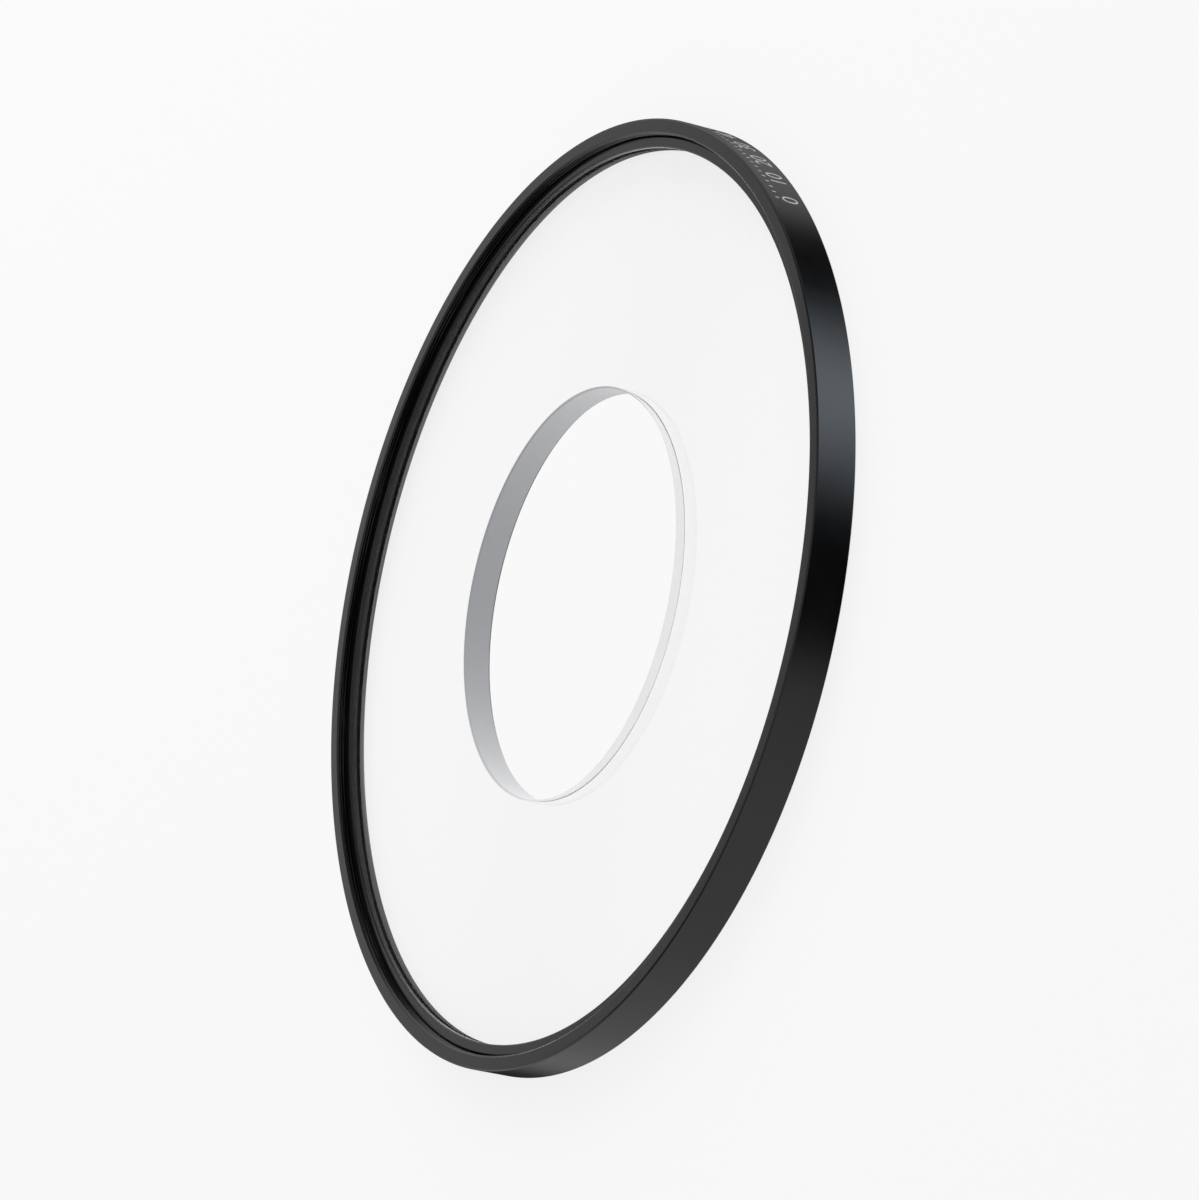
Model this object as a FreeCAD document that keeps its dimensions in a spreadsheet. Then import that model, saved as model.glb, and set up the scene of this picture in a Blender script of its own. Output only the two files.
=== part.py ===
# Clear-centre close-up filter for a 138 mm round filter tray, as a parametric document.
#
# The filter lies on its back face. Its optical axis is +Z, the origin is the middle of the
# back face, and the front, which the retaining ring closes, faces up. All sizes are millimetres.
#
# Three pieces make it. The filter ring is turned in one piece: a plain outer wall that slides
# into the tray, a back flange with the clear aperture, a seat bore for the glass, a thread
# relief and a threaded front bore. The lens is a weak plano-convex disc with a large hole
# drilled through its middle and a ground wall. The retaining ring screws in over the glass.

import FreeCAD, Part
import math
import os

import Sketcher

# The driving dimensions: alias, value, meaning.
SIZES = [
    ("ring_outer_dia", 138.0, "outer diameter of the filter ring, the size of the tray"),
    ("ring_height", 6.2, "height of the filter ring from back face to front lip"),
    ("ring_edge_break", 0.2, "chamfer on the two outer corners of the ring"),
    ("lip_width", 2.25, "wall from the outer face of the ring to the crests of its thread"),
    ("thread_lead_in", 0.25, "chamfer at the mouth of the threaded bore"),
    ("relief_width", 0.4, "width of the thread relief groove"),
    ("relief_depth", 0.3, "radial depth of the relief groove below the thread's crests"),
    ("relief_reach", 0.25, "how far the relief starts behind the retaining ring's seat"),
    ("seat_step", 0.1, "radial step from the thread's crests in to the seat bore"),
    ("seat_clearance", 0.05, "radial clearance between the glass and its seat bore"),
    ("flange_thickness", 0.75, "thickness of the back flange that the glass sits on"),
    ("flange_overlap", 1.6, "how far the flange reaches in under the rim of the glass"),
    ("flange_front_break", 0.2, "chamfer on the flange's corner behind the glass"),
    ("flange_back_break", 0.3, "chamfer on the flange's corner at the back face"),
    ("lens_rim_thickness", 3.5, "thickness of the glass at its rim"),
    ("lens_front_radius", 2092.0, "radius of the convex front surface, a quarter dioptre"),
    ("lens_hole_dia", 59.7, "diameter of the hole through the middle of the glass"),
    ("lens_rim_bevel", 0.2, "ground safety bevel on the rim of the glass"),
    ("lens_hole_bevel", 0.25, "ground bevel on both edges of the hole"),
    ("retainer_thickness", 0.75, "thickness of the retaining ring"),
    ("retainer_overlap", 1.6, "how far the retaining ring reaches in over the rim of the glass"),
    ("retainer_clearance", 0.03, "radial clearance between the retaining ring and its bore"),
    ("retainer_outer_break", 0.3, "chamfer on the retaining ring's outer upper corner"),
    ("retainer_inner_break", 0.15, "chamfer on the retaining ring's inner upper corner"),
    ("slot_width", 2.2, "width of each spanner slot in the retaining ring"),
    ("slot_depth", 0.35, "depth of each spanner slot"),
    ("slot_count", 2, "number of spanner slots around the retaining ring"),
]

# Radii and heights that the pieces share, as expressions on the sheet, from the outside in.
RING_RADIUS = "(Sizes.ring_outer_dia / 2)"
THREAD_RADIUS = f"({RING_RADIUS} - Sizes.lip_width)"
RELIEF_RADIUS = f"({THREAD_RADIUS} + Sizes.relief_depth)"
SEAT_RADIUS = f"({THREAD_RADIUS} - Sizes.seat_step)"
LENS_RADIUS = f"({SEAT_RADIUS} - Sizes.seat_clearance)"
APERTURE_RADIUS = f"({LENS_RADIUS} - Sizes.flange_overlap)"
RETAINER_RADIUS = f"({THREAD_RADIUS} - Sizes.retainer_clearance)"
RETAINER_BORE_RADIUS = f"({LENS_RADIUS} - Sizes.retainer_overlap)"
HOLE_RADIUS = "(Sizes.lens_hole_dia / 2)"
RING_TOP = "Sizes.ring_height"
GLASS_BACK = "Sizes.flange_thickness"
GLASS_RIM_TOP = f"({GLASS_BACK} + Sizes.lens_rim_thickness)"
DOME_CENTRE = f"({GLASS_RIM_TOP} - sqrt(Sizes.lens_front_radius^2 - {LENS_RADIUS}^2))"


def dome_height(radius):
    """Give the height of the lens's convex front at a radius, as an expression."""
    return f"({DOME_CENTRE} + sqrt(Sizes.lens_front_radius^2 - {radius}^2))"


# The retaining ring bears on the glass with its inner lower corner: the dome is highest there.
RETAINER_SEAT = dome_height(RETAINER_BORE_RADIUS)
RETAINER_TOP = f"({RETAINER_SEAT} + Sizes.retainer_thickness)"
RELIEF_BOTTOM = f"({RETAINER_SEAT} - Sizes.relief_reach)"
RELIEF_TOP = f"({RELIEF_BOTTOM} + Sizes.relief_width)"

SAME_PLACE = 1e-3


def add_sheet(doc):
    """Put the driving dimensions into a spreadsheet, one aliased cell each."""
    sheet = doc.addObject("Spreadsheet::Sheet", "Sizes")
    for row, (alias, value, meaning) in enumerate(SIZES, start=1):
        sheet.set(f"A{row}", meaning)
        sheet.set(f"B{row}", str(value))
        sheet.setAlias(f"B{row}", alias)
    doc.recompute()


def value_of(doc, expression):
    """Evaluate an expression on the sheet as a plain number."""
    return float(doc.getObject("Sizes").evalExpression(expression))


def origin_feature(body, role):
    """Find an axis or a plane of a body's own origin."""
    for feature in body.Origin.OriginFeatures:
        if feature.Role == role:
            return feature
    raise LookupError(f"{body.Label} has no {role}")


def new_body(doc, name):
    """Start an empty body whose label names the piece."""
    body = doc.addObject("PartDesign::Body", name)
    body.Label = name
    return body


def new_sketch(body, name, plane):
    """Start a sketch on one of the body's origin planes."""
    sketch = body.newObject("Sketcher::SketchObject", name)
    sketch.AttachmentSupport = (origin_feature(body, plane), [""])
    sketch.MapMode = "FlatFace"
    return sketch


def bind(sketch, kind, name, references, expression):
    """Add a named dimension to a sketch and bind it to the sheet."""
    value = value_of(sketch.Document, expression)
    index = sketch.addConstraint(Sketcher.Constraint(kind, *references, value))
    sketch.renameConstraint(index, name)
    sketch.setExpression(f"Constraints.{name}", expression)


def place_corner(sketch, name, point, across, up):
    """Hold one sketch point at a distance across and a height from the origin.

    A height of None lies on the horizontal axis.
    """
    bind(sketch, "DistanceX", f"{name}_across", (-1, 1, *point), across)
    if up is None:
        sketch.addConstraint(Sketcher.Constraint("PointOnObject", *point, -1))
    else:
        bind(sketch, "DistanceY", f"{name}_up", (-1, 1, *point), up)


def add_dome(sketch, start, end):
    """Draw the lens's front as an arc about a centre on the vertical axis, outermost end first."""
    doc = sketch.Document
    centre = FreeCAD.Vector(0, value_of(doc, DOME_CENTRE), 0)
    radius = value_of(doc, "Sizes.lens_front_radius")
    circle = Part.Circle(centre, FreeCAD.Vector(0, 0, 1), radius)
    arc = Part.ArcOfCircle(circle, math.acos(start.x / radius), math.acos(end.x / radius))
    side = sketch.addGeometry(arc)
    sketch.addConstraint(Sketcher.Constraint("PointOnObject", side, 3, -2))
    bind(sketch, "Radius", "front_radius", (side,), "Sizes.lens_front_radius")


def add_outline(sketch, corners, domed_side=None):
    """Draw a closed outline and bind each corner, given as a name, a distance and a height.

    The sides are straight, apart from the domed one. The height of the corner at the end of
    that side follows from the dome, so it only places the corner to begin with.
    """
    doc = sketch.Document
    places = []
    for _, across, up in corners:
        height = 0.0 if up is None else value_of(doc, up)
        places.append(FreeCAD.Vector(value_of(doc, across), height, 0))
    count = len(corners)
    for side in range(count):
        start = places[side]
        end = places[(side + 1) % count]
        if side == domed_side:
            add_dome(sketch, start, end)
        else:
            sketch.addGeometry(Part.LineSegment(start, end))
    for side in range(count):
        sketch.addConstraint(Sketcher.Constraint("Coincident", side, 2, (side + 1) % count, 1))
    for side, (name, across, up) in enumerate(corners):
        if domed_side is not None and side == domed_side + 1:
            bind(sketch, "DistanceX", f"{name}_across", (-1, 1, side, 1), across)
        else:
            place_corner(sketch, name, (side, 1), across, up)


def revolve(body, sketch, name, kind="PartDesign::Revolution"):
    """Turn a sketch about the body's Z axis, as a solid or as a groove."""
    feature = body.newObject(kind, name)
    feature.Profile = (sketch, [""])
    feature.ReferenceAxis = (sketch, ["V_Axis"])
    feature.Angle = 360
    body.Document.recompute()
    return feature


def circle_edges(shape, radius, height):
    """List the names of a shape's circular edges about Z at a radius and a height."""
    names = []
    for number, edge in enumerate(shape.Edges, start=1):
        curve = edge.Curve
        if not isinstance(curve, Part.Circle):
            continue
        same_radius = math.isclose(curve.Radius, radius, abs_tol=SAME_PLACE)
        same_height = math.isclose(curve.Center.z, height, abs_tol=SAME_PLACE)
        if same_radius and same_height:
            names.append(f"Edge{number}")
    return names


def chamfer(body, base, name, size, corners):
    """Chamfer the circular corners of a turned piece, each given by its radius and height."""
    doc = body.Document
    edges = []
    for radius, height in corners:
        edges += circle_edges(base.Shape, value_of(doc, radius), value_of(doc, height))
    feature = body.newObject("PartDesign::Chamfer", name)
    feature.Base = (base, edges)
    feature.setExpression("Size", size)
    doc.recompute()
    return feature


def filter_ring(doc):
    """Turn the filter ring: outer wall, back flange, glass seat and threaded front bore."""
    body = new_body(doc, "filter_ring")
    section = new_sketch(body, "ring_section", "XZ_Plane")
    add_outline(section, [
        ("back_inner", APERTURE_RADIUS, None),
        ("back_outer", RING_RADIUS, None),
        ("lip_outer", RING_RADIUS, RING_TOP),
        ("lip_inner", THREAD_RADIUS, RING_TOP),
        ("thread_end", THREAD_RADIUS, RELIEF_BOTTOM),
        ("seat_mouth", SEAT_RADIUS, RELIEF_BOTTOM),
        ("seat_floor", SEAT_RADIUS, GLASS_BACK),
        ("flange_inner", APERTURE_RADIUS, GLASS_BACK),
    ])
    turned = revolve(body, section, "ring_turned")
    relief_section = new_sketch(body, "relief_section", "XZ_Plane")
    add_outline(relief_section, [
        ("relief_low_in", THREAD_RADIUS, RELIEF_BOTTOM),
        ("relief_low_out", RELIEF_RADIUS, RELIEF_BOTTOM),
        ("relief_high_out", RELIEF_RADIUS, RELIEF_TOP),
        ("relief_high_in", THREAD_RADIUS, RELIEF_TOP),
    ])
    relief = revolve(body, relief_section, "thread_relief", "PartDesign::Groove")
    outer = chamfer(body, relief, "outer_edge_breaks", "Sizes.ring_edge_break", [
        (RING_RADIUS, "0"),
        (RING_RADIUS, RING_TOP),
    ])
    lead_in = chamfer(body, outer, "thread_lead_in", "Sizes.thread_lead_in", [
        (THREAD_RADIUS, RING_TOP),
    ])
    front = chamfer(body, lead_in, "flange_front_break", "Sizes.flange_front_break", [
        (APERTURE_RADIUS, GLASS_BACK),
    ])
    chamfer(body, front, "flange_back_break", "Sizes.flange_back_break", [
        (APERTURE_RADIUS, "0"),
    ])
    if relief.Shape.Volume >= turned.Shape.Volume:
        raise RuntimeError("the thread relief cuts nothing")
    return body


def close_up_lens(doc):
    """Grind the glass: flat back, convex front, drilled middle and bevelled edges."""
    body = new_body(doc, "close_up_lens")
    section = new_sketch(body, "lens_section", "XZ_Plane")
    hole_flat = f"({HOLE_RADIUS} + Sizes.lens_hole_bevel)"
    rim_flat = f"({LENS_RADIUS} - Sizes.lens_rim_bevel)"
    hole_front = dome_height(hole_flat)
    rim_front = dome_height(rim_flat)
    corners = [
        ("hole_back", HOLE_RADIUS, f"({GLASS_BACK} + Sizes.lens_hole_bevel)"),
        ("back_inner", hole_flat, GLASS_BACK),
        ("back_outer", rim_flat, GLASS_BACK),
        ("rim_back", LENS_RADIUS, f"({GLASS_BACK} + Sizes.lens_rim_bevel)"),
        ("rim_front", LENS_RADIUS, f"({rim_front} - Sizes.lens_rim_bevel)"),
        ("front_outer", rim_flat, rim_front),
        ("front_inner", hole_flat, hole_front),
        ("hole_front", HOLE_RADIUS, f"({hole_front} - Sizes.lens_hole_bevel)"),
    ]
    front = [name for name, _, _ in corners].index("front_outer")
    add_outline(section, corners, domed_side=front)
    revolve(body, section, "lens_ground")
    return body


def retaining_ring(doc):
    """Turn the retaining ring and mill its spanner slots across the upper face."""
    body = new_body(doc, "retaining_ring")
    section = new_sketch(body, "retainer_section", "XZ_Plane")
    add_outline(section, [
        ("seat_inner", RETAINER_BORE_RADIUS, RETAINER_SEAT),
        ("seat_outer", RETAINER_RADIUS, RETAINER_SEAT),
        ("face_outer", RETAINER_RADIUS, RETAINER_TOP),
        ("face_inner", RETAINER_BORE_RADIUS, RETAINER_TOP),
    ])
    turned = revolve(body, section, "retainer_turned")
    outer = chamfer(body, turned, "retainer_outer_break", "Sizes.retainer_outer_break", [
        (RETAINER_RADIUS, RETAINER_TOP),
    ])
    inner = chamfer(body, outer, "retainer_inner_break", "Sizes.retainer_inner_break", [
        (RETAINER_BORE_RADIUS, RETAINER_TOP),
    ])
    slot_outline = new_sketch(body, "slot_outline", "XY_Plane")
    slot_outline.setExpression("AttachmentOffset.Base.z", RETAINER_TOP)
    sides = [
        ("slot_inner_left", "-Sizes.slot_width / 2", f"({RETAINER_BORE_RADIUS} - Sizes.slot_width)"),
        ("slot_inner_right", "Sizes.slot_width / 2", f"({RETAINER_BORE_RADIUS} - Sizes.slot_width)"),
        ("slot_outer_right", "Sizes.slot_width / 2", f"({RETAINER_RADIUS} + Sizes.slot_width)"),
        ("slot_outer_left", "-Sizes.slot_width / 2", f"({RETAINER_RADIUS} + Sizes.slot_width)"),
    ]
    add_outline(slot_outline, sides)
    slot = body.newObject("PartDesign::Pocket", "spanner_slot")
    slot.Profile = slot_outline
    slot.setExpression("Length", "Sizes.slot_depth")
    doc.recompute()
    pattern = body.newObject("PartDesign::PolarPattern", "spanner_slots")
    pattern.Originals = [slot]
    pattern.Axis = (origin_feature(body, "Z_Axis"), [""])
    pattern.Angle = 360
    pattern.setExpression("Occurrences", "Sizes.slot_count")
    body.Tip = pattern
    doc.recompute()
    if pattern.Shape.Volume >= inner.Shape.Volume:
        raise RuntimeError("the spanner slots cut nothing")
    return body


def check(doc, pieces):
    """Stop if any object of the document failed or a piece is not one valid solid."""
    for obj in doc.Objects:
        if "Invalid" in obj.State or "Error" in obj.State:
            raise RuntimeError(f"{obj.Label} failed: {obj.State}")
    for piece in pieces:
        shape = piece.Shape
        if shape.isNull() or not shape.isValid() or len(shape.Solids) != 1:
            raise RuntimeError(f"{piece.Label} is not one valid solid")


def main():
    """Build the document and write one STEP file for each piece."""
    doc = FreeCAD.newDocument("close_up_filter")
    add_sheet(doc)
    pieces = [filter_ring(doc), close_up_lens(doc), retaining_ring(doc)]
    doc.recompute()
    check(doc, pieces)
    os.makedirs("parts", exist_ok=True)
    for piece in pieces:
        piece.Shape.exportStep(f"parts/{piece.Label}.step")
        box = piece.Shape.BoundBox
        print(f"{piece.Label}: {piece.Shape.Volume:.1f} mm3, height {box.ZMin:.3f} to {box.ZMax:.3f}")


main()
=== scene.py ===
"""The looks of a clear-centre close-up filter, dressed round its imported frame.

The frame is the CAD model: a black ring, a ring-shaped lens and the retaining ring that closes
it. Each piece is turned again here from its own section, with fine steps, rounded edges and
screw threads, and gets its finish. Lengths are metres in the frame's own coordinates: the optical
axis is +Z and the filter lies on its back face.
"""

import logging
import math
from dataclasses import dataclass
from enum import Enum
from typing import Any

import bmesh
import bpy
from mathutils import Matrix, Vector


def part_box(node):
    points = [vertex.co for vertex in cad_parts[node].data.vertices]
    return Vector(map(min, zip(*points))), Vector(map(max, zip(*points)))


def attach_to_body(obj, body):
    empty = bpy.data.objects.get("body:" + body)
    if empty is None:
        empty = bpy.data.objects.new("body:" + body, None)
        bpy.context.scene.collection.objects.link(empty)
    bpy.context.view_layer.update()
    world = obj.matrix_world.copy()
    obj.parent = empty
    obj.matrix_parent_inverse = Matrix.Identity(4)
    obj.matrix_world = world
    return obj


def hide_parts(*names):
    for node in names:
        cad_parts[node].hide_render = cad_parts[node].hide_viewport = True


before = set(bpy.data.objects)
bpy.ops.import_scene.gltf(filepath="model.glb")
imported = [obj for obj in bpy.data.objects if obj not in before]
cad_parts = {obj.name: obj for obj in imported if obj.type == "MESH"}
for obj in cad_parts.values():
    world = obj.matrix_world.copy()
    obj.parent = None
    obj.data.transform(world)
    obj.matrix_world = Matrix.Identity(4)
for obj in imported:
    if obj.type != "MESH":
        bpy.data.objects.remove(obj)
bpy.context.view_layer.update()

LOG = logging.getLogger("close_up_filter")

Socket = bpy.types.NodeSocket
Place = tuple[float, float, float]
Colour = tuple[float, float, float, float]

MM = 0.001

# How finely a section is rounded and turned
STEPS_AROUND = 720
EDGE_ROUNDING = 0.05 * MM
SHARP = 0.0
ROUNDING_STEPS = 3
ROUNDINGS_PER_EDGE = 3
SHARP_ANGLE = math.radians(35.0)

# The upward part of a face's normal, which is larger on a level face and smaller on an upright one
LEVEL_FACE_LEAN = 0.9
UPRIGHT_FACE_LEAN = 0.3


class ThreadForm:
    """The metric thread that joins both rings, with its form as shares of the pitch."""

    PITCH = 0.5 * MM
    HALF_PITCH_SHARE = 0.5
    CREST_SHARE = 0.25
    ROOT_SHARE = 0.125
    DEPTH_SHARE = 0.54
    FINDING_REACH = 0.004 * MM


def grey(tone: float) -> Colour:
    """Give a grey as a colour."""
    return (tone, tone, tone, 1.0)


class TreeBuilder:
    """Adds nodes to a tree one below the other, so that the tree reads from top to bottom."""

    def __init__(self, tree: bpy.types.NodeTree) -> None:
        """Work on a tree, which may be a shader's or a Geometry Nodes group."""
        self.tree = tree

    def add(self, kind: str, inputs: dict[Any, Any] | None = None,
            **settings: Any) -> bpy.types.Node:
        """Add one node.

        Args:
            kind: Blender's name for the type of node.
            inputs: a value or another node's output for each input, by name or number.
            settings: the node's own settings.

        Returns:
            The new node.
        """
        node = self.tree.nodes.new(kind)
        for name, value in settings.items():
            setattr(node, name, value)
        self.feed(node, inputs or {})
        return node

    def feed(self, node: bpy.types.Node, inputs: dict[Any, Any]) -> None:
        """Set inputs of a node, each to a value or to another node's output."""
        for key, value in inputs.items():
            if isinstance(value, Socket):
                self.tree.links.new(value, node.inputs[key])
            else:
                node.inputs[key].default_value = value

    def maths(self, operation: str, *values: Any) -> Socket:
        """Add a Math node and give its output."""
        return self.add("ShaderNodeMath", dict(enumerate(values)), operation=operation).outputs[0]

    def remap(self, value: Any, low: Any, high: Any,
              to_low: Any = 0.0, to_high: Any = 1.0) -> Socket:
        """Map a value from one range to another, held at its ends, and give the output."""
        inputs = {0: value, 1: low, 2: high, 3: to_low, 4: to_high}
        return self.add("ShaderNodeMapRange", inputs).outputs[0]

    def split(self, vector: Socket) -> list[Socket]:
        """Take a vector apart into x, y and z."""
        return list(self.add("ShaderNodeSeparateXYZ", {0: vector}).outputs)

    def join(self, x: Any = 0.0, y: Any = 0.0, z: Any = 0.0) -> Socket:
        """Put a vector together from x, y and z."""
        return self.add("ShaderNodeCombineXYZ", {0: x, 1: y, 2: z}).outputs[0]

    def from_axis(self, x: Socket, y: Socket) -> Socket:
        """Give the distance from the axis at x and y."""
        return self.maths("SQRT", self.maths("ADD", self.maths("MULTIPLY", x, x),
                                             self.maths("MULTIPLY", y, y)))

    def noise(self, place: Socket, grain: float, detail: float, roughness: float = 0.5) -> Socket:
        """Give noise about 0.5, whose largest spots have the size of the grain."""
        return self.add("ShaderNodeTexNoise", {
            "Vector": place, "Scale": 1.0 / grain, "Detail": detail,
            "Roughness": roughness}).outputs[0]

    def mix_colours(self, share: Any, first: Any, second: Any) -> Socket:
        """Mix two colours by the share of the second.

        A Mix node has its colours at inputs 6 and 7 and its mixed colour at output 2.
        """
        inputs = {0: share, 6: first, 7: second}
        return self.add("ShaderNodeMix", inputs, data_type="RGBA").outputs[2]

    def mix_shaders(self, share: Any, first: Socket, second: Socket) -> Socket:
        """Mix two shaders by the share of the second."""
        return self.add("ShaderNodeMixShader", {0: share, 1: first, 2: second}).outputs[0]

    def position(self) -> Socket:
        """Give the place of each point, in a Geometry Nodes group."""
        return self.add("GeometryNodeInputPosition").outputs[0]

    def group_input(self, name: str, kind: str = "NodeSocketFloat") -> Socket:
        """Add a named input to a Geometry Nodes group and give its socket inside the group."""
        self.tree.interface.new_socket(name, in_out="INPUT", socket_type=kind)
        return self.add("NodeGroupInput").outputs[name]

    def group_output(self, geometry: Socket) -> None:
        """Give the group's result."""
        self.tree.interface.new_socket("Geometry", in_out="OUTPUT",
                                       socket_type="NodeSocketGeometry")
        self.add("NodeGroupOutput", {0: geometry})


def empty_tree(owner: bpy.types.Material | bpy.types.World) -> TreeBuilder:
    """Clear the nodes of a new material or world and give the builder that fills them."""
    owner.use_nodes = True
    owner.node_tree.nodes.clear()
    return TreeBuilder(owner.node_tree)


def principled_tree(material: bpy.types.Material) -> tuple[TreeBuilder, bpy.types.Node]:
    """Give the builder of a new material's nodes and the Principled shader that it starts with."""
    material.use_nodes = True
    return TreeBuilder(material.node_tree), material.node_tree.nodes["Principled BSDF"]


@dataclass(frozen=True)
class Corner:
    """One corner of a turned section: distance from the axis, height and rounding."""

    across: float
    up: float
    rounding: float = EDGE_ROUNDING


def rounded_outline(corners: list[Corner]) -> list[tuple[float, float]]:
    """Round the corners of a closed section.

    Args:
        corners: the corners in order, counterclockwise.

    Returns:
        The points of the outline, as distance from the axis and height.
    """
    points = []
    for number, corner in enumerate(corners):
        here = Vector((corner.across, corner.up))
        if corner.rounding == SHARP:
            points.append(tuple(here))
            continue
        before = corners[number - 1]
        after = corners[(number + 1) % len(corners)]
        ends = []
        for other in (before, after):
            edge = Vector((other.across, other.up)) - here
            reach = min(corner.rounding, edge.length / ROUNDINGS_PER_EDGE)
            ends.append(here + edge.normalized() * reach)
        start, end = ends
        for step in range(ROUNDING_STEPS + 1):
            share = step / ROUNDING_STEPS
            point = start * (1 - share) ** 2 + here * 2 * share * (1 - share) + end * share ** 2
            points.append(tuple(point))
    return points


def straight_rows(across: float, low: float, high: float, rows: int) -> list[Corner]:
    """Divide a straight wall into rows, from low to high, for the thread that is cut into it."""
    return [Corner(across, low + (high - low) * row / rows, SHARP) for row in range(rows + 1)]


def thread_values(radius: float, bottom: float, top: float, run_out: float) -> dict[str, float]:
    """Give the values of the inputs that TurnedTree.thread adds.

    Args:
        radius: the radius of the wall that the thread is cut into.
        bottom: the height at which the thread starts.
        top: the height at which it ends.
        run_out: the height over which it fades out at each end.

    Returns:
        The values by the inputs' names.
    """
    return {
        "Thread Radius": radius,
        "Thread Bottom": bottom,
        "Thread Top": top,
        "Thread Pitch": ThreadForm.PITCH,
        "Thread Depth": ThreadForm.PITCH * ThreadForm.DEPTH_SHARE,
        "Thread Run-Out": run_out,
    }


class TurnedTree:
    """A Geometry Nodes group that turns a section about the axis, and may thread and slot it."""

    def __init__(self, name: str) -> None:
        """Start the group with the sweep of the section round the axis."""
        self.group = bpy.data.node_groups.new(name, "GeometryNodeTree")
        self.build = TreeBuilder(self.group)
        section = self.build.group_input("Section", "NodeSocketGeometry")
        steps = self.build.group_input("Steps Around", "NodeSocketInt")
        radius = self.build.group_input("Swing Radius")
        outline = self.build.add("GeometryNodeMeshToCurve", {"Mesh": section})
        path = self.build.add("GeometryNodeCurvePrimitiveCircle", {
            "Resolution": steps, "Radius": radius})
        swept = self.build.add("GeometryNodeCurveToMesh", {
            "Curve": path.outputs["Curve"], "Profile Curve": outline.outputs[0]})
        self.geometry = swept.outputs[0]

    def thread(self) -> None:
        """Cut a right-handed thread into the wall at the thread's radius, outwards from it.

        The depth follows the turns of a helix: a wave of the height, less the pitch times the
        share of a turn. It fades out at both ends of the wall.
        """
        build = self.build
        radius = build.group_input("Thread Radius")
        bottom = build.group_input("Thread Bottom")
        top = build.group_input("Thread Top")
        pitch = build.group_input("Thread Pitch")
        depth = build.group_input("Thread Depth")
        run_out = build.group_input("Thread Run-Out")
        x, y, z = build.split(build.position())
        on_wall = build.maths("COMPARE", build.from_axis(x, y), radius, ThreadForm.FINDING_REACH)
        turn = build.maths("DIVIDE", build.maths("ARCTAN2", y, x), math.tau)
        turns_up = build.maths("SUBTRACT", build.maths("DIVIDE", z, pitch), turn)
        wave = build.maths("PINGPONG", turns_up, ThreadForm.HALF_PITCH_SHARE)
        form = build.remap(wave, ThreadForm.CREST_SHARE / 2,
                           ThreadForm.HALF_PITCH_SHARE - ThreadForm.ROOT_SHARE / 2)
        from_bottom = build.remap(z, bottom, build.maths("ADD", bottom, run_out))
        to_top = build.remap(z, build.maths("SUBTRACT", top, run_out), top, 1.0, 0.0)
        share = build.maths("MULTIPLY", form, build.maths("MULTIPLY", from_bottom, to_top))
        cut = build.maths("MULTIPLY", build.maths("MULTIPLY", share, depth), on_wall)
        outwards = build.add("ShaderNodeVectorMath", {0: build.join(x, y)}, operation="NORMALIZE")
        offset = build.add("ShaderNodeVectorMath", {0: outwards.outputs[0], "Scale": cut},
                           operation="SCALE")
        moved = build.add("GeometryNodeSetPosition", {
            "Geometry": self.geometry, "Offset": offset.outputs[0]})
        self.geometry = moved.outputs[0]

    def slot(self) -> None:
        """Mill slots across the upper face, evenly spaced and first at +Y."""
        build = self.build
        count = build.group_input("Slot Count", "NodeSocketInt")
        width = build.group_input("Slot Width")
        length = build.group_input("Slot Length")
        radius = build.group_input("Slot Radius")
        floor = build.group_input("Slot Floor")
        places = build.add("GeometryNodeMeshCircle", {"Vertices": count, "Radius": radius})
        cutter = build.add("GeometryNodeMeshCube", {"Size": build.join(width, length, length)})
        lift = build.maths("ADD", floor, build.maths("DIVIDE", length, 2.0))
        raised = build.add("GeometryNodeTransform", {
            "Geometry": cutter.outputs[0], "Translation": build.join(z=lift)})
        facing = build.add("FunctionNodeAlignRotationToVector", {"Vector": build.position()},
                           axis="Y", pivot_axis="Z")
        cutters = build.add("GeometryNodeInstanceOnPoints", {
            "Points": places.outputs[0], "Instance": raised.outputs[0],
            "Rotation": facing.outputs[0]})
        quarter_turn = build.add("GeometryNodeTransform", {
            "Geometry": cutters.outputs[0], "Rotation": (0.0, 0.0, math.pi / 2)})
        real = build.add("GeometryNodeRealizeInstances", {0: quarter_turn.outputs[0]})
        milled = build.add("GeometryNodeMeshBoolean", {
            "Mesh 1": self.geometry, "Mesh 2": real.outputs[0]},
            operation="DIFFERENCE", solver="EXACT")
        self.geometry = milled.outputs[0]

    def dress_walls(self, geometry: Socket) -> Socket:
        """Give the walls and bevels, the back bevels and the rim their own materials."""
        build = self.build
        normal = build.add("GeometryNodeInputNormal").outputs["True Normal"]
        upwards = build.split(normal)[2]
        faces_out = build.add("ShaderNodeVectorMath", {0: normal, 1: build.position()},
                              operation="DOT_PRODUCT").outputs["Value"]
        is_wall = build.maths("LESS_THAN", build.maths("ABSOLUTE", upwards), LEVEL_FACE_LEAN)
        faces_down = build.maths("LESS_THAN", upwards, -UPRIGHT_FACE_LEAN)
        is_back_bevel = build.maths("MULTIPLY", is_wall, faces_down)
        is_rim = build.maths("MULTIPLY", is_wall, build.maths("GREATER_THAN", faces_out, 0.0))
        for name, chosen in (("Wall", is_wall), ("Back Bevel", is_back_bevel), ("Rim", is_rim)):
            own = build.group_input(name + " Material", "NodeSocketMaterial")
            geometry = build.add("GeometryNodeSetMaterial", {
                0: geometry, "Selection": chosen, "Material": own}).outputs[0]
        return geometry

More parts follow.
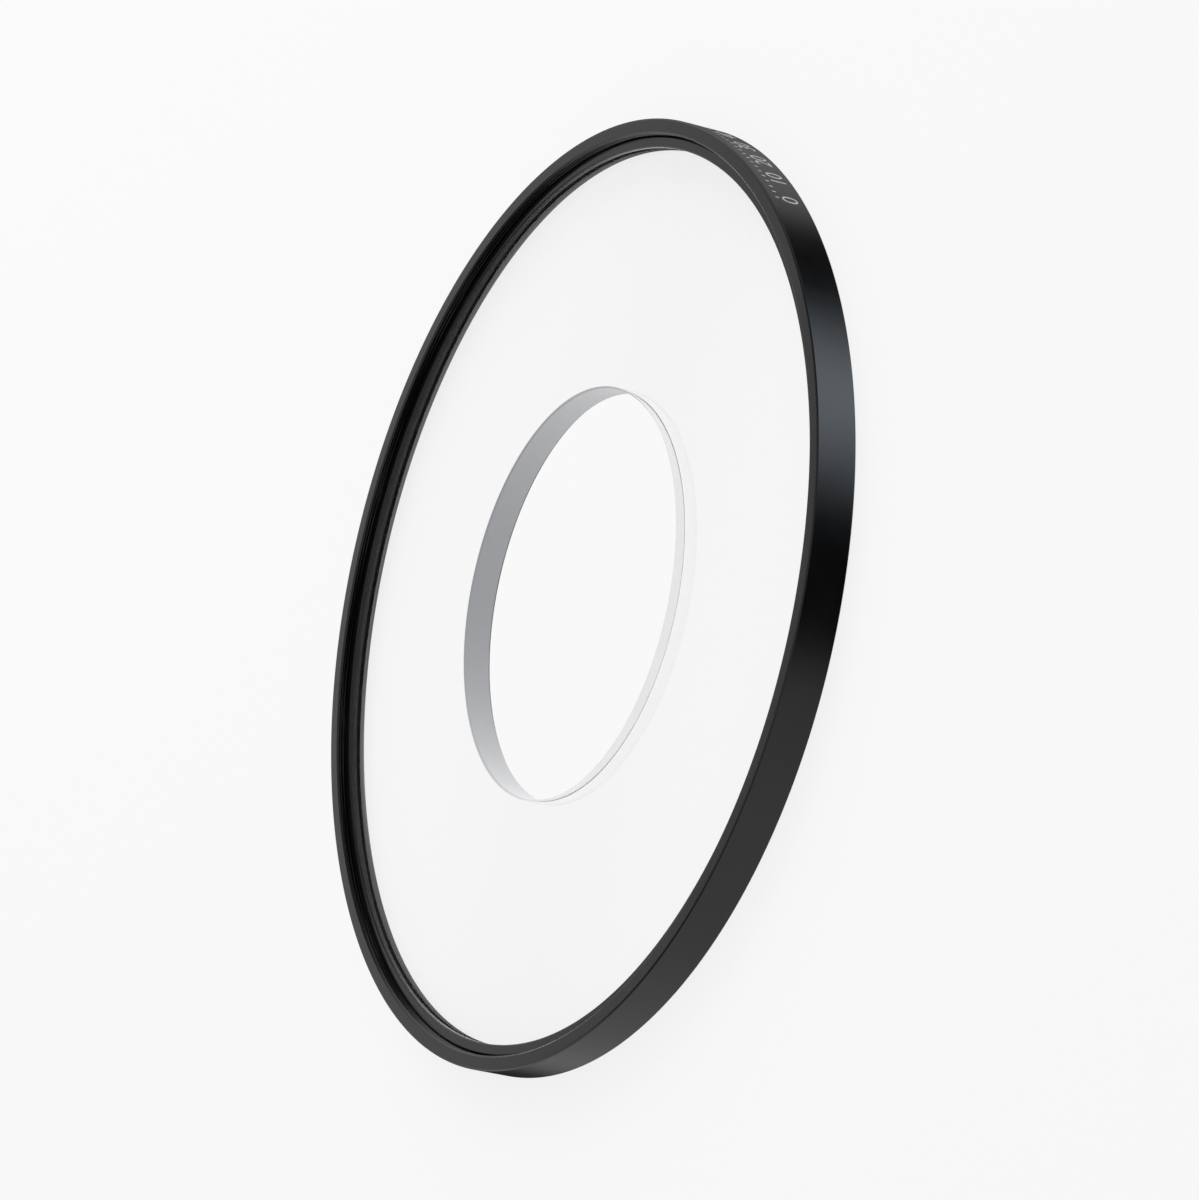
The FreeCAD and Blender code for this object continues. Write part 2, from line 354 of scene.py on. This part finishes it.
    def finish(self, wall_materials: bool = False) -> bpy.types.NodeTree:
        """Smooth the faces between the sharp edges, realize and set the materials.

        Args:
            wall_materials: give the walls, the back bevels and the rim their own materials.

        Returns:
            The finished group.
        """
        build = self.build
        sharp_angle = build.group_input("Sharp Angle")
        smooth = build.add("GeometryNodeSetShadeSmooth", {0: self.geometry, "Shade Smooth": True})
        angle = build.add("GeometryNodeInputMeshEdgeAngle").outputs["Unsigned Angle"]
        is_sharp = build.maths("GREATER_THAN", angle, sharp_angle)
        edged = build.add("GeometryNodeSetShadeSmooth", {
            0: smooth.outputs[0], "Selection": is_sharp, "Shade Smooth": False}, domain="EDGE")
        real = build.add("GeometryNodeRealizeInstances", {0: edged.outputs[0]})
        material = build.group_input("Material", "NodeSocketMaterial")
        dressed = build.add("GeometryNodeSetMaterial", {
            0: real.outputs[0], "Material": material}).outputs[0]
        if wall_materials:
            dressed = self.dress_walls(dressed)
        build.group_output(dressed)
        return self.group


def run_group(group: bpy.types.NodeTree, piece: bpy.types.Object, values: dict[str, Any]) -> None:
    """Run a Geometry Nodes group on a piece and keep the result as its plain mesh.

    Args:
        group: the group to run.
        piece: the object that carries the group's base, which it loses.
        values: the value of each of the group's inputs, by name.
    """
    modifier = piece.modifiers.new(group.name, "NODES")
    modifier.node_group = group
    identifiers = {item.name: item.identifier for item in group.interface.items_tree
                   if item.in_out == "INPUT"}
    for name, value in values.items():
        modifier[identifiers[name]] = value
    weights = piece.modifiers.new("flat_faces", "WEIGHTED_NORMAL")
    weights.keep_sharp = True
    depsgraph = bpy.context.evaluated_depsgraph_get()
    mesh = bpy.data.meshes.new_from_object(piece.evaluated_get(depsgraph))
    piece.modifiers.clear()
    base = piece.data
    piece.data = mesh
    mesh.name = piece.name
    bpy.data.meshes.remove(base)


def new_piece(name: str, points: list[Place], edges: list[tuple[int, int]]) -> bpy.types.Object:
    """Add an object that holds points and edges, as the base of a piece."""
    mesh = bpy.data.meshes.new(name + "_base")
    mesh.from_pydata(points, edges, [])
    piece = bpy.data.objects.new(name, mesh)
    bpy.context.scene.collection.objects.link(piece)
    return piece


def turn_section(name: str, corners: list[Corner], group: bpy.types.NodeTree,
                 values: dict[str, Any]) -> bpy.types.Object:
    """Turn a section into a piece.

    Args:
        name: the piece's name.
        corners: the section's corners, counterclockwise.
        group: the Geometry Nodes group that turns it.
        values: the group's inputs that are this piece's own.

    Returns:
        The finished piece, as a plain closed mesh.
    """
    outline = rounded_outline(corners)
    swing = sum(across for across, _ in outline) / len(outline)
    points = [(across - swing, -up, 0.0) for across, up in reversed(outline)]
    edges = [(number, (number + 1) % len(points)) for number in range(len(points))]
    piece = new_piece(name, points, edges)
    shared = {"Steps Around": STEPS_AROUND, "Swing Radius": swing, "Sharp Angle": SHARP_ANGLE}
    run_group(group, piece, shared | values)
    check_closed(piece)
    return piece


def check_closed(piece: bpy.types.Object) -> None:
    """Stop if a piece's mesh is open or turned inside out."""
    shape = bmesh.new()
    shape.from_mesh(piece.data)
    open_edges = sum(1 for edge in shape.edges if len(edge.link_faces) != 2)
    volume = shape.calc_volume(signed=True)
    triangles = sum(len(face.verts) - 2 for face in shape.faces)
    shape.free()
    if open_edges or volume <= 0.0:
        raise RuntimeError(f"{piece.name}: {open_edges} open edges, volume {volume}")
    LOG.info("%s: %d triangles, %.1f mm3", piece.name, triangles, volume / MM ** 3)


@dataclass(frozen=True)
class AnodisedFinish:
    """Black anodised aluminium, turned on a lathe and lightly blasted before the bath."""

    name: str
    colour: Colour = (0.0020, 0.0020, 0.0023, 1.0)
    index: float = 1.40
    roughness: float = 0.21
    roughness_spread: float = 0.03
    mark_spacing: float = 0.11 * MM
    mark_unevenness: float = 0.6
    mark_height: float = 0.0012 * MM
    grain_size: float = 0.06 * MM
    grain_height: float = 0.0008 * MM
    cloud_size: float = 9.0 * MM
    cloud_range: tuple[float, float] = (0.3, 0.7)
    cloud_lift: float = 1.35

    def material(self) -> bpy.types.Material:
        """Make the material.

        The turning marks follow the distance from the axis and the height, so they run round
        every face that the lathe cut.
        """
        material = bpy.data.materials.new(self.name)
        build, shader = principled_tree(material)
        place = build.add("ShaderNodeTexCoord").outputs["Object"]
        x, y, z = build.split(place)
        lathe = build.join(build.from_axis(x, y), z)
        marks = build.noise(lathe, self.mark_spacing, 2.0, self.mark_unevenness)
        grain = build.noise(place, self.grain_size, 1.0)
        clouds = build.noise(place, self.cloud_size, 3.0)
        rough = build.remap(clouds, *self.cloud_range, self.roughness - self.roughness_spread,
                            self.roughness + self.roughness_spread)
        marked = build.add("ShaderNodeBump", {
            "Height": marks, "Distance": self.mark_height, "Strength": 1.0})
        grained = build.add("ShaderNodeBump", {
            "Height": grain, "Distance": self.grain_height, "Strength": 1.0,
            "Normal": marked.outputs[0]})
        lifted = tuple(self.cloud_lift * part for part in self.colour[:3]) + (1.0,)
        build.feed(shader, {
            "Base Color": build.mix_colours(clouds, self.colour, lifted),
            "Roughness": rough,
            "IOR": self.index,
            "Normal": grained.outputs[0],
        })
        return material


class GlassFace(Enum):
    """How a face of the lens is finished."""

    POLISHED = "polished"
    GROUND = "ground"
    FROSTED = "frosted"
    INKED = "inked"


@dataclass(frozen=True)
class GlassFinish:
    """Clear coated glass: polished faces, a ground hole, frosted bevels and an inked rim."""

    face: GlassFace
    clear: Colour = grey(1.0)
    coating: Colour = grey(0.0)
    index: float = 1.52
    ground: Colour = (0.455, 0.47, 0.49, 1.0)
    # painted sheen: the lighter colour that the ground wall scatters at grazing angles stands in
    # for the reflection of the pale surroundings
    ground_painted_sheen: Colour = (0.90, 0.90, 0.91, 1.0)
    ground_blend: float = 0.5
    ground_roughness: float = 0.22
    ground_mirror: Colour = grey(0.97)
    frost_index: float = 1.15
    frost_roughness: float = 0.30
    ink: Colour = grey(0.10)
    ink_index: float = 1.03
    ink_roughness: float = 0.35
    scatter_roughness: float = 0.5

    def see_through(self, build: TreeBuilder, index: float, roughness: float) -> Socket:
        """Give the shader of a face that light passes, sharply or spread by its roughness.

        The coating's tint takes away what the face mirrors, except past the critical angle.
        """
        return build.add("ShaderNodeBsdfPrincipled", {
            "Base Color": self.clear, "Transmission Weight": 1.0, "IOR": index,
            "Roughness": roughness, "Specular Tint": self.coating}).outputs[0]

    def scattered(self, build: TreeBuilder, colour: Colour) -> Socket:
        """Give the shader of the light that a matt face scatters."""
        return build.add("ShaderNodeBsdfDiffuse", {
            "Color": colour, "Roughness": self.scatter_roughness}).outputs[0]

    def ground_wall(self, build: TreeBuilder) -> Socket:
        """Give the shader of the ground wall, with a painted sheen: seen from outside, it scatters
        a lighter colour the flatter it is seen, in place of the pale surroundings that it mirrors
        there.

        From inside the glass it mirrors what reaches it past the critical angle.
        """
        facing = self.scattered(build, self.ground)
        # painted sheen: this lighter scattered colour, mixed in by how flat the wall is seen,
        # stands in for the reflected pale surroundings
        flat = self.scattered(build, self.ground_painted_sheen)
        sheen = build.add("ShaderNodeLayerWeight", {"Blend": self.ground_blend})
        outside = build.mix_shaders(sheen.outputs["Facing"], facing, flat)
        inside = self.matt(build, self.ground, self.ground_mirror, self.index,
                           self.ground_roughness)
        side = build.add("ShaderNodeNewGeometry").outputs["Backfacing"]
        return build.mix_shaders(side, outside, inside)

    def matt(self, build: TreeBuilder, colour: Colour, mirror: Colour, index: float,
             roughness: float) -> Socket:
        """Give the shader of a matt face: it scatters, and mirrors what reaches it flat enough.

        From inside the glass that is all the light past the critical angle.

        Args:
            build: the material's nodes.
            colour: what the face scatters.
            mirror: what it mirrors.
            index: the refractive index across the face.
            roughness: the spread of what it mirrors.

        Returns:
            The shader's output.
        """
        mirrored = build.add("ShaderNodeBsdfGlossy", {"Color": mirror, "Roughness": roughness})
        share = build.add("ShaderNodeFresnel", {"IOR": index}).outputs[0]
        return build.mix_shaders(share, self.scattered(build, colour), mirrored.outputs[0])

    def material(self) -> bpy.types.Material:
        """Make the material. Lamps and soft light pass through it unbent."""
        material = bpy.data.materials.new("glass_" + self.face.value)
        build = empty_tree(material)
        match self.face:
            case GlassFace.POLISHED:
                surface = self.see_through(build, self.index, 0.0)
            case GlassFace.FROSTED:
                surface = self.see_through(build, self.frost_index, self.frost_roughness)
            case GlassFace.GROUND:
                surface = self.ground_wall(build)
            case GlassFace.INKED:
                surface = self.matt(build, self.ink, self.clear, self.ink_index,
                                    self.ink_roughness)
        rays = build.add("ShaderNodeLightPath").outputs
        passing = build.maths("MAXIMUM", rays["Is Shadow Ray"], rays["Is Diffuse Ray"])
        unbent = build.add("ShaderNodeBsdfTransparent").outputs[0]
        mixed = build.mix_shaders(passing, surface, unbent)
        build.add("ShaderNodeOutputMaterial", {0: mixed})
        return material


def attach(piece: bpy.types.Object, node: str) -> None:
    """Fix a piece to the filter's one body and hide the CAD node that it stands for."""
    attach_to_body(piece, "root")
    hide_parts(node)


@dataclass(frozen=True)
class Fits:
    """The lip's width, and how far the pieces' matching walls lie apart."""

    lip_width: float = 2.25 * MM
    seat_clearance: float = 0.05 * MM
    relief_reach: float = 0.25 * MM


@dataclass
class FilterRing:
    """The black ring: outer wall, lip, threaded bore, relief, glass seat and back flange."""

    outer_radius: float
    height: float
    thread_radius: float
    seat_radius: float
    glass_back: float
    relief_bottom: float
    finish: AnodisedFinish
    edge_break: float = 0.2 * MM
    lead_in: float = 0.25 * MM
    relief_width: float = 0.4 * MM
    relief_depth: float = 0.3 * MM
    aperture_radius: float = 65.0 * MM
    flange_front_break: float = 0.2 * MM
    flange_back_break: float = 0.3 * MM
    thread_run_out: float = 0.12 * MM
    thread_rows: int = 36

    @property
    def thread_bottom(self) -> float:
        """Height at which the thread starts, above the relief."""
        return self.relief_bottom + self.relief_width

    @property
    def thread_top(self) -> float:
        """Height at which the thread ends, below the lead-in."""
        return self.height - self.lead_in

    def section(self) -> list[Corner]:
        """List the corners of the ring's section."""
        thread = straight_rows(self.thread_radius, self.thread_bottom, self.thread_top,
                               self.thread_rows)
        relief_radius = self.thread_radius + self.relief_depth
        return [
            Corner(self.aperture_radius, self.flange_back_break),
            Corner(self.aperture_radius + self.flange_back_break, 0.0),
            Corner(self.outer_radius - self.edge_break, 0.0),
            Corner(self.outer_radius, self.edge_break),
            Corner(self.outer_radius, self.height - self.edge_break),
            Corner(self.outer_radius - self.edge_break, self.height),
            Corner(self.thread_radius + self.lead_in, self.height),
            *reversed(thread),
            Corner(relief_radius, self.thread_bottom),
            Corner(relief_radius, self.relief_bottom),
            Corner(self.seat_radius, self.relief_bottom),
            Corner(self.seat_radius, self.glass_back, SHARP),
            Corner(self.aperture_radius + self.flange_front_break, self.glass_back),
            Corner(self.aperture_radius, self.glass_back - self.flange_front_break),
        ]

    def build(self) -> None:
        """Turn and thread the ring."""
        tree = TurnedTree("turned_ring")
        tree.thread()
        thread = thread_values(self.thread_radius, self.thread_bottom, self.thread_top,
                               self.thread_run_out)
        piece = turn_section("filter_ring_anodised", self.section(), tree.finish(),
                             thread | {"Material": self.finish.material()})
        attach(piece, "filter_ring")


@dataclass
class CloseUpLens:
    """The ring-shaped lens: flat back, weakly domed front, ground hole, rim and bevels."""

    radius: float
    back: float
    hole_radius: float = 29.85 * MM
    rim_thickness: float = 3.5 * MM
    front_radius: float = 2092.0 * MM
    rim_bevel: float = 0.2 * MM
    hole_bevel: float = 0.25 * MM
    seat_gap: float = 0.02 * MM
    dome_rows: int = 16

    def front_height(self, across: float) -> float:
        """Give the height of the domed front at a distance from the axis."""
        centre_to_rim = math.sqrt(self.front_radius ** 2 - self.radius ** 2)
        centre = self.back + self.rim_thickness - centre_to_rim
        return centre + math.sqrt(self.front_radius ** 2 - across ** 2)

    def section(self) -> list[Corner]:
        """List the corners of the lens's section, with the dome as a row of points."""
        back = self.back + self.seat_gap
        inner_flat = self.hole_radius + self.hole_bevel
        outer_flat = self.radius - self.rim_bevel
        dome = []
        for row in range(self.dome_rows + 1):
            across = outer_flat + (inner_flat - outer_flat) * row / self.dome_rows
            dome.append(Corner(across, self.front_height(across), SHARP))
        return [
            Corner(self.hole_radius, back + self.hole_bevel, SHARP),
            Corner(inner_flat, back, SHARP),
            Corner(outer_flat, back, SHARP),
            Corner(self.radius, back + self.rim_bevel, SHARP),
            Corner(self.radius, dome[0].up - self.rim_bevel, SHARP),
            *dome,
            Corner(self.hole_radius, dome[-1].up - self.hole_bevel, SHARP),
        ]

    def build(self) -> None:
        """Grind and polish the lens."""
        group = TurnedTree("turned_lens").finish(wall_materials=True)
        piece = turn_section("close_up_lens_glass", self.section(), group, {
            "Material": GlassFinish(GlassFace.POLISHED).material(),
            "Back Bevel Material": GlassFinish(GlassFace.FROSTED).material(),
            "Wall Material": GlassFinish(GlassFace.GROUND).material(),
            "Rim Material": GlassFinish(GlassFace.INKED).material(),
        })
        attach(piece, "close_up_lens")


@dataclass
class RetainingRing:
    """The thin threaded ring over the glass, with its spanner slots."""

    outer_radius: float
    bottom: float
    top: float
    finish: AnodisedFinish
    bore_radius: float = 65.0 * MM
    outer_break: float = 0.3 * MM
    inner_break: float = 0.15 * MM
    slot_count: int = 2
    slot_width: float = 2.2 * MM
    slot_depth: float = 0.35 * MM
    slot_reach: float = 6.0 * MM
    thread_run_out: float = 0.08 * MM
    thread_rows: int = 12

    @property
    def thread_top(self) -> float:
        """Height at which the thread ends, below the broken edge."""
        return self.top - self.outer_break

    def section(self) -> list[Corner]:
        """List the corners of the retaining ring's section."""
        thread = straight_rows(self.outer_radius, self.bottom, self.thread_top, self.thread_rows)
        return [
            Corner(self.bore_radius, self.bottom),
            *thread,
            Corner(self.outer_radius - self.outer_break, self.top),
            Corner(self.bore_radius + self.inner_break, self.top),
            Corner(self.bore_radius, self.top - self.inner_break),
        ]

    def build(self) -> None:
        """Turn, thread and slot the retaining ring."""
        tree = TurnedTree("turned_retainer")
        tree.thread()
        tree.slot()
        thread = thread_values(self.outer_radius, self.bottom, self.thread_top,
                               self.thread_run_out)
        piece = turn_section("retaining_ring_anodised", self.section(), tree.finish(), thread | {
            "Slot Count": self.slot_count,
            "Slot Width": self.slot_width,
            "Slot Length": self.slot_reach,
            "Slot Radius": (self.outer_radius + self.bore_radius) / 2,
            "Slot Floor": self.top - self.slot_depth,
            "Material": self.finish.material(),
        })
        attach(piece, "retaining_ring")


@dataclass(frozen=True)
class PrintedInk:
    """Light grey ink, printed thinly and a little unevenly."""

    colour: Colour = (0.50, 0.50, 0.51, 1.0)
    thin_colour: Colour = (0.36, 0.36, 0.37, 1.0)
    patch_size: float = 0.25 * MM
    patch_range: tuple[float, float] = (0.35, 0.65)
    roughness: float = 0.55

    def material(self) -> bpy.types.Material:
        """Make the material, darker where the ink is thin."""
        material = bpy.data.materials.new("printed_ink_grey")
        build, shader = principled_tree(material)
        place = build.add("ShaderNodeTexCoord").outputs["Object"]
        cover = build.remap(build.noise(place, self.patch_size, 2.0), *self.patch_range)
        build.feed(shader, {
            "Base Color": build.mix_colours(cover, self.thin_colour, self.colour),
            "Roughness": self.roughness,
        })
        return material


@dataclass
class IndexFigures:
    """Plain numbers and marks printed on the outer wall, read with the front up."""

    wall_radius: float
    ink: PrintedInk
    figures: tuple[str, ...] = ("0", "10", "20", "30", "40", "50", "60")
    first_angle: float = math.radians(-29.0)
    spacing: float = 6.0 * MM
    foot_height: float = 1.3 * MM
    figure_size: float = 3.7 * MM
    mark_width: float = 0.25 * MM
    mark_length: float = 0.6 * MM
    mark_height: float = 4.6 * MM
    marks_between: int = 4
    proud: float = 0.010 * MM
    depth: float = 0.030 * MM
    merge_reach: float = 0.003 * MM

    def tree(self) -> bpy.types.NodeTree:
        """Make the Geometry Nodes group that prints the figures and bends them round the wall."""
        group = bpy.data.node_groups.new("printed_figures", "GeometryNodeTree")
        build = TreeBuilder(group)
        build.group_input("Base", "NodeSocketGeometry")
        spacing = build.group_input("Spacing")
        flat = build.add("GeometryNodeJoinGeometry")
        for shape in (*self.add_figures(build, spacing), self.add_marks(build, spacing)):
            build.feed(flat, {0: shape})
        bent = self.bend(build, self.thicken(build, flat.outputs[0]))
        real = build.add("GeometryNodeRealizeInstances", {0: bent})
        material = build.group_input("Material", "NodeSocketMaterial")
        inked = build.add("GeometryNodeSetMaterial", {0: real.outputs[0], "Material": material})
        build.group_output(inked.outputs[0])
        return group

    def add_figures(self, build: TreeBuilder, spacing: Socket) -> list[Socket]:
        """Lay the figures out in a flat row and give the geometry of each."""
        size = build.group_input("Figure Size")
        shapes = []
        for number, figure in enumerate(self.figures):
            outline = build.add("GeometryNodeStringToCurves", {"String": figure, "Size": size},
                                align_x="CENTER")
            real = build.add("GeometryNodeRealizeInstances", {0: outline.outputs[0]})
            across = build.maths("MULTIPLY", spacing, float(number))
            moved = build.add("GeometryNodeTransform", {
                "Geometry": real.outputs[0], "Translation": build.join(across)})
            filled = build.add("GeometryNodeFillCurve", {0: moved.outputs[0]}, mode="TRIANGLES")
            shapes.append(filled.outputs[0])
        return shapes

    def add_marks(self, build: TreeBuilder, spacing: Socket) -> Socket:
        """Lay a row of short marks over the figures and give its geometry."""
        width = build.group_input("Mark Width")
        length = build.group_input("Mark Length")
        lift = build.group_input("Mark Lift")
        mark = build.add("GeometryNodeMeshGrid", {
            "Size X": width, "Size Y": length, "Vertices X": 2, "Vertices Y": 2})
        step = build.join(build.maths("DIVIDE", spacing, float(self.marks_between)))
        count = (len(self.figures) - 1) * self.marks_between + 1
        row = build.add("GeometryNodeMeshLine", {
            "Count": count, "Start Location": build.join(y=lift), "Offset": step})
        marks = build.add("GeometryNodeInstanceOnPoints", {
            "Points": row.outputs[0], "Instance": mark.outputs[0]})
        return build.add("GeometryNodeRealizeInstances", {0: marks.outputs[0]}).outputs[0]

    def thicken(self, build: TreeBuilder, flat: Socket) -> Socket:
        """Raise the flat print into a closed layer of ink and give its geometry."""
        depth = build.group_input("Depth")
        raised = build.add("GeometryNodeExtrudeMesh", {
            "Mesh": flat, "Offset Scale": depth, "Individual": False})
        under = build.add("GeometryNodeFlipFaces", {0: flat})
        both = build.add("GeometryNodeJoinGeometry")
        for part in (raised, under):
            build.feed(both, {0: part.outputs[0]})
        return build.add("GeometryNodeMergeByDistance", {
            "Geometry": both.outputs[0], "Distance": self.merge_reach}).outputs[0]

    def bend(self, build: TreeBuilder, geometry: Socket) -> Socket:
        """Bend the flat print round the wall: its length runs along the turn, its height up."""
        radius = build.group_input("Wall Radius")
        first = build.group_input("First Angle")
        foot = build.group_input("Foot Height")
        floor = build.group_input("Print Floor")
        along, up, out = build.split(build.position())
        angle = build.maths("ADD", first, build.maths("DIVIDE", along, radius))
        distance = build.maths("ADD", floor, out)
        place = build.join(build.maths("MULTIPLY", distance, build.maths("COSINE", angle)),
                           build.maths("MULTIPLY", distance, build.maths("SINE", angle)),
                           build.maths("ADD", foot, up))
        return build.add("GeometryNodeSetPosition", {
            "Geometry": geometry, "Position": place}).outputs[0]

    def build(self) -> None:
        """Print the figures."""
        piece = new_piece("index_figures", [(0.0, 0.0, 0.0)], [])
        run_group(self.tree(), piece, {
            "Figure Size": self.figure_size,
            "Spacing": self.spacing,
            "Mark Width": self.mark_width,
            "Mark Length": self.mark_length,
            "Mark Lift": self.mark_height - self.foot_height,
            "Depth": self.depth,
            "Wall Radius": self.wall_radius,
            "First Angle": self.first_angle,
            "Foot Height": self.foot_height,
            "Print Floor": self.wall_radius + self.proud - self.depth,
            "Material": self.ink.material(),
        })
        check_closed(piece)
        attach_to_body(piece, "root")


@dataclass(frozen=True)
class Card:
    """What the filter mirrors in one direction, by azimuth or elevation in degrees."""

    angle: float
    tone: Colour


# By azimuth: the outer wall mirrors these
BELOW_HORIZON = [
    Card(-180.0, grey(0.95)),
    Card(-130.0, grey(1.15)),
    Card(-102.0, grey(1.00)),
    Card(-82.0, grey(0.01)),
    Card(-62.0, grey(0.01)),
    Card(-29.0, (3.1, 3.45, 3.8, 1.0)),
    Card(4.0, grey(0.01)),
    Card(18.0, grey(0.01)),
    Card(34.0, grey(0.70)),
    Card(52.0, grey(0.45)),
    Card(74.0, grey(0.16)),
    Card(97.0, grey(0.02)),
    Card(112.0, grey(0.02)),
    Card(136.0, grey(0.62)),
    Card(180.0, grey(0.95)),
]

# By elevation: the lip mirrors these
ABOVE_HORIZON = [
    Card(0.0, grey(0.90)),
    Card(20.0, grey(1.10)),
    Card(25.0, grey(1.15)),
    Card(30.0, grey(0.25)),
    Card(42.0, grey(0.25)),
    Card(60.0, grey(0.85)),
    Card(90.0, grey(0.90)),
]


def add_ramp(build: TreeBuilder, angle: Socket, cards: list[Card]) -> Socket:
    """Give the tone at an angle, blended between the cards on both sides of it.

    Args:
        build: the world's nodes.
        angle: the angle in radians.
        cards: the cards by rising angle. The first and the last are the ends of the range.

    Returns:
        The tone's output.
    """
    low = cards[0].angle
    high = cards[-1].angle
    share = build.remap(angle, math.radians(low), math.radians(high))
    node = build.add("ShaderNodeValToRGB", {0: share})
    ramp = node.color_ramp
    ramp.interpolation = "EASE"
    while len(ramp.elements) > 1:
        ramp.elements.remove(ramp.elements[-1])
    for number, card in enumerate(cards):
        where = (card.angle - low) / (high - low)
        stop = ramp.elements[0] if number == 0 else ramp.elements.new(where)
        stop.position = where
        stop.color = card.tone
    return node.outputs[0]


@dataclass
class Studio:
    """The pale floor, the soft light and the camera, which aren't part of the filter."""

    floor_half: float = 4.0
    pale: float = 0.96
    flat_share: float = 0.86
    even_light: float = 0.62
    horizon_blur: float = 0.05
    lamp_watts: float = 8.0
    lamp_size: float = 0.8
    lamp_place: Place = (0.82, 0.55, 0.55)
    camera_place: Place = (0.017562, -0.888910, 0.469660)
    camera_turn: Place = (22.3215, 59.6620, -63.4302)
    camera_lens: float = 211.397
    camera_sensor: float = 36.0
    camera_reach: float = 20.0

    def add_camera(self) -> None:
        """Set the camera where the photograph was taken from, turned as it was."""
        data = bpy.data.cameras.new("camera")
        data.sensor_width = self.camera_sensor
        data.lens = self.camera_lens
        data.clip_end = self.camera_reach
        camera = bpy.data.objects.new("camera", data)
        camera.location = self.camera_place
        camera.rotation_euler = [math.radians(angle) for angle in self.camera_turn]
        bpy.context.scene.collection.objects.link(camera)
        bpy.context.scene.camera = camera

    def add_floor(self) -> None:
        """Lay a pale floor, mostly of one tone, that keeps a faint shadow of the filter."""
        half = self.floor_half
        mesh = bpy.data.meshes.new("floor")
        mesh.from_pydata([(-half, -half, 0), (half, -half, 0), (half, half, 0), (-half, half, 0)],
                         [], [(0, 1, 2, 3)])
        floor = bpy.data.objects.new("floor", mesh)
        bpy.context.scene.collection.objects.link(floor)
        material = bpy.data.materials.new("pale_floor")
        build = empty_tree(material)
        tone = grey(self.pale)
        lit = build.add("ShaderNodeBsdfDiffuse", {"Color": tone}).outputs[0]
        flat = build.add("ShaderNodeEmission", {"Color": tone, "Strength": 1.0}).outputs[0]
        rays = build.add("ShaderNodeLightPath").outputs
        seen = build.maths("MAXIMUM", rays["Is Camera Ray"], rays["Is Transmission Ray"])
        seen = build.maths("MAXIMUM", seen, rays["Is Glossy Ray"])
        share = build.maths("MULTIPLY", seen, self.flat_share)
        mixed = build.mix_shaders(share, lit, flat)
        build.add("ShaderNodeOutputMaterial", {0: mixed})
        mesh.materials.append(material)
        floor.visible_glossy = False

    def add_softbox(self) -> None:
        """Hang a large soft lamp beyond the top of the picture, so the shadow falls forward."""
        data = bpy.data.lights.new("softbox", "AREA")
        data.shape = "SQUARE"
        data.size = self.lamp_size
        data.energy = self.lamp_watts
        lamp = bpy.data.objects.new("softbox", data)
        lamp.location = self.lamp_place
        lamp.rotation_euler = (-lamp.location).to_track_quat("-Z", "Y").to_euler()
        lamp.visible_transmission = False
        lamp.visible_glossy = False
        bpy.context.scene.collection.objects.link(lamp)

    def add_surroundings(self) -> None:
        """Light the filter evenly, show a pale background and set up the cards it mirrors."""
        world = bpy.data.worlds.new("surroundings")
        build = empty_tree(world)
        direction = build.add("ShaderNodeTexCoord").outputs["Generated"]
        x, y, z = build.split(direction)
        around = add_ramp(build, build.maths("ARCTAN2", y, x), BELOW_HORIZON)
        overhead = add_ramp(build, build.maths("ARCSINE", z), ABOVE_HORIZON)
        is_above = build.remap(z, -self.horizon_blur, self.horizon_blur)
        mirrored = build.mix_colours(is_above, around, overhead)
        rays = build.add("ShaderNodeLightPath").outputs
        seen = build.mix_colours(rays["Is Camera Ray"], grey(self.even_light), grey(self.pale))
        tone = build.mix_colours(rays["Is Glossy Ray"], seen, mirrored)
        background = build.add("ShaderNodeBackground", {"Color": tone, "Strength": 1.0})
        build.add("ShaderNodeOutputWorld", {0: background.outputs[0]})
        bpy.context.scene.world = world


def main() -> None:
    """Build the studio and the filter's pieces in order."""
    logging.basicConfig(level=logging.INFO, format="%(name)s: %(message)s")
    bpy.context.scene.view_settings.view_transform = "Standard"
    studio = Studio()
    studio.add_camera()
    studio.add_floor()
    studio.add_softbox()
    studio.add_surroundings()

    ring_low, ring_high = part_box("filter_ring")
    lens_low, lens_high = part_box("close_up_lens")
    retainer_low, retainer_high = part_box("retaining_ring")
    fits = Fits()
    wall_radius = min(ring_high.x, ring_high.y, -ring_low.x, -ring_low.y)
    parts = [
        FilterRing(
            outer_radius=wall_radius,
            height=ring_high.z,
            thread_radius=ring_high.x - fits.lip_width,
            seat_radius=lens_high.x + fits.seat_clearance,
            glass_back=lens_low.z,
            relief_bottom=retainer_low.z - fits.relief_reach,
            finish=AnodisedFinish("ring_anodised_black"),
        ),
        CloseUpLens(radius=lens_high.x, back=lens_low.z),
        RetainingRing(
            outer_radius=retainer_high.x,
            bottom=retainer_low.z,
            top=retainer_high.z,
            finish=AnodisedFinish("retainer_anodised_black"),
        ),
        IndexFigures(wall_radius=wall_radius, ink=PrintedInk()),
    ]
    for part in parts:
        part.build()


if __name__ == "__main__":
    main()
